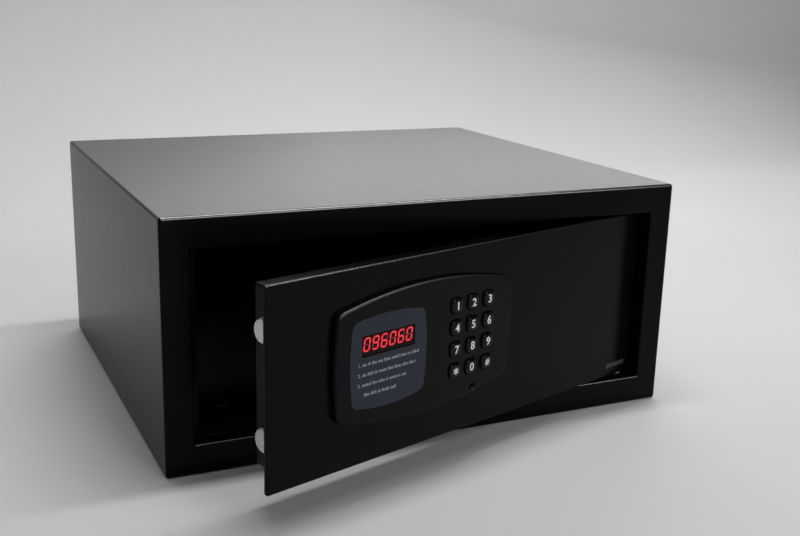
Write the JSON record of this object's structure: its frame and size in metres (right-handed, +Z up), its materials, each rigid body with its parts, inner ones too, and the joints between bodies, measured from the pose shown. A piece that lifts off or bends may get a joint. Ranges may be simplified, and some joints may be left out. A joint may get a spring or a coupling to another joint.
{
  "type": "in room safe",
  "caption": "Electronic in-room safe: black steel cabinet with an inset right-hinged door, keypad fascia with lit display, and motor-driven round bolts.",
  "frame": {"origin": "centre of the cabinet base, on the surface that it stands on", "axes": "+X right, +Y from the front frame to the back plate, +Z up"},
  "size_m": [0.43, 0.474, 0.19],
  "materials": {
    "cabinet_paint": "fine-textured semi-gloss black powder coat",
    "bolt_steel": "turned and lightly polished",
    "zinc_steel": "zinc plated",
    "fascia_moulding": "fine-grained satin moulding",
    "key_cap": "polished moulded caps",
    "key_print": "printed",
    "label_film": "satin printed film",
    "display_block": "smoked red window",
    "led_segment": "lit",
    "circuit_board": "solder mask",
    "cell_sleeve": "printed foil sleeve",
    "nylon": "natural nylon",
    "floor_felt": "needled felt"
  },
  "bodies": {
    "cabinet": {"shell_wrap": "cabinet_paint", "front_frame": "cabinet_paint", "back_plate": "cabinet_paint", "strike_bar": "cabinet_paint", "hinge_lug_top": "cabinet_paint", "hinge_lug_bottom": "cabinet_paint", "hinge_washer_top": "nylon", "hinge_washer_bottom": "nylon", "floor_mat": "floor_felt"},
    "door": {"door_plate": "cabinet_paint", "hinge_bracket_top": "cabinet_paint", "hinge_bracket_bottom": "cabinet_paint", "hinge_pin_top": "zinc_steel", "hinge_pin_bottom": "zinc_steel", "fascia": "fascia_moulding", "label_panel": "label_film", "display_module": "display_block", "key_board": "circuit_board", "service_socket": "fascia_moulding", "main_board": "circuit_board", "ribbon_cable": "nylon", "bolt_guide": "zinc_steel", "gear_motor": "nylon", "battery_box": "fascia_moulding", "battery_1": "cell_sleeve", "battery_2": "cell_sleeve", "battery_3": "cell_sleeve", "battery_4": "cell_sleeve", "battery_door": "cabinet_paint", "battery_door_screw": "zinc_steel", "lock_cover": "cabinet_paint", "cover_post_1": "zinc_steel", "cover_post_2": "zinc_steel", "cover_post_3": "zinc_steel", "cover_post_4": "zinc_steel", "cover_screw_1": "zinc_steel", "cover_screw_2": "zinc_steel", "cover_screw_3": "zinc_steel", "cover_screw_4": "zinc_steel"},
    "bolt_carriage": {"bolt_upper": "bolt_steel", "bolt_lower": "bolt_steel", "bolt_link": "zinc_steel", "drive_rack": "zinc_steel"},
    "motor_pinion": {"drive_pinion": "nylon"},
    "key_1_button": {"key_1": "key_cap"},
    "key_2_button": {"key_2": "key_cap"},
    "key_3_button": {"key_3": "key_cap"},
    "key_4_button": {"key_4": "key_cap"},
    "key_5_button": {"key_5": "key_cap"},
    "key_6_button": {"key_6": "key_cap"},
    "key_7_button": {"key_7": "key_cap"},
    "key_8_button": {"key_8": "key_cap"},
    "key_9_button": {"key_9": "key_cap"},
    "key_star_button": {"key_star": "key_cap"},
    "key_0_button": {"key_0": "key_cap"},
    "key_hash_button": {"key_hash": "key_cap"}
  },
  "joints": [
    {"name": "door_hinge", "type": "hinge", "parent": "cabinet", "child": "door", "pos_m": [0.182, -0.1695, 0.095], "axis": [0, 0, 1], "range_deg": [-17, 78]},
    {"name": "bolt_throw", "type": "slide", "parent": "door", "child": "bolt_carriage", "axis": [-0.9563, -0.2924, 0], "range_m": [0, 0.016]},
    {"name": "pinion_spin", "type": "hinge", "parent": "door", "child": "motor_pinion", "pos_m": [-0.07955, -0.23064, 0.095], "axis": [0.2924, -0.9563, 0], "range_deg": [0, 154]},
    {"name": "key_1_press", "type": "slide", "parent": "door", "child": "key_1_button", "axis": [-0.2924, 0.9563, 0], "range_m": [0, 0.001], "stiffness_N_per_m": 1200, "springref_m": -0.0004},
    {"name": "key_2_press", "type": "slide", "parent": "door", "child": "key_2_button", "axis": [-0.2924, 0.9563, 0], "range_m": [0, 0.001], "stiffness_N_per_m": 1200, "springref_m": -0.0004},
    {"name": "key_3_press", "type": "slide", "parent": "door", "child": "key_3_button", "axis": [-0.2924, 0.9563, 0], "range_m": [0, 0.001], "stiffness_N_per_m": 1200, "springref_m": -0.0004},
    {"name": "key_4_press", "type": "slide", "parent": "door", "child": "key_4_button", "axis": [-0.2924, 0.9563, 0], "range_m": [0, 0.001], "stiffness_N_per_m": 1200, "springref_m": -0.0004},
    {"name": "key_5_press", "type": "slide", "parent": "door", "child": "key_5_button", "axis": [-0.2924, 0.9563, 0], "range_m": [0, 0.001], "stiffness_N_per_m": 1200, "springref_m": -0.0004},
    {"name": "key_6_press", "type": "slide", "parent": "door", "child": "key_6_button", "axis": [-0.2924, 0.9563, 0], "range_m": [0, 0.001], "stiffness_N_per_m": 1200, "springref_m": -0.0004},
    {"name": "key_7_press", "type": "slide", "parent": "door", "child": "key_7_button", "axis": [-0.2924, 0.9563, 0], "range_m": [0, 0.001], "stiffness_N_per_m": 1200, "springref_m": -0.0004},
    {"name": "key_8_press", "type": "slide", "parent": "door", "child": "key_8_button", "axis": [-0.2924, 0.9563, 0], "range_m": [0, 0.001], "stiffness_N_per_m": 1200, "springref_m": -0.0004},
    {"name": "key_9_press", "type": "slide", "parent": "door", "child": "key_9_button", "axis": [-0.2924, 0.9563, 0], "range_m": [0, 0.001], "stiffness_N_per_m": 1200, "springref_m": -0.0004},
    {"name": "key_star_press", "type": "slide", "parent": "door", "child": "key_star_button", "axis": [-0.2924, 0.9563, 0], "range_m": [0, 0.001], "stiffness_N_per_m": 1200, "springref_m": -0.0004},
    {"name": "key_0_press", "type": "slide", "parent": "door", "child": "key_0_button", "axis": [-0.2924, 0.9563, 0], "range_m": [0, 0.001], "stiffness_N_per_m": 1200, "springref_m": -0.0004},
    {"name": "key_hash_press", "type": "slide", "parent": "door", "child": "key_hash_button", "axis": [-0.2924, 0.9563, 0], "range_m": [0, 0.001], "stiffness_N_per_m": 1200, "springref_m": -0.0004}
  ],
  "couplings": [
    {"joint": "pinion_spin", "follows": "bolt_throw", "rad_per_m": 166.67}
  ]
}
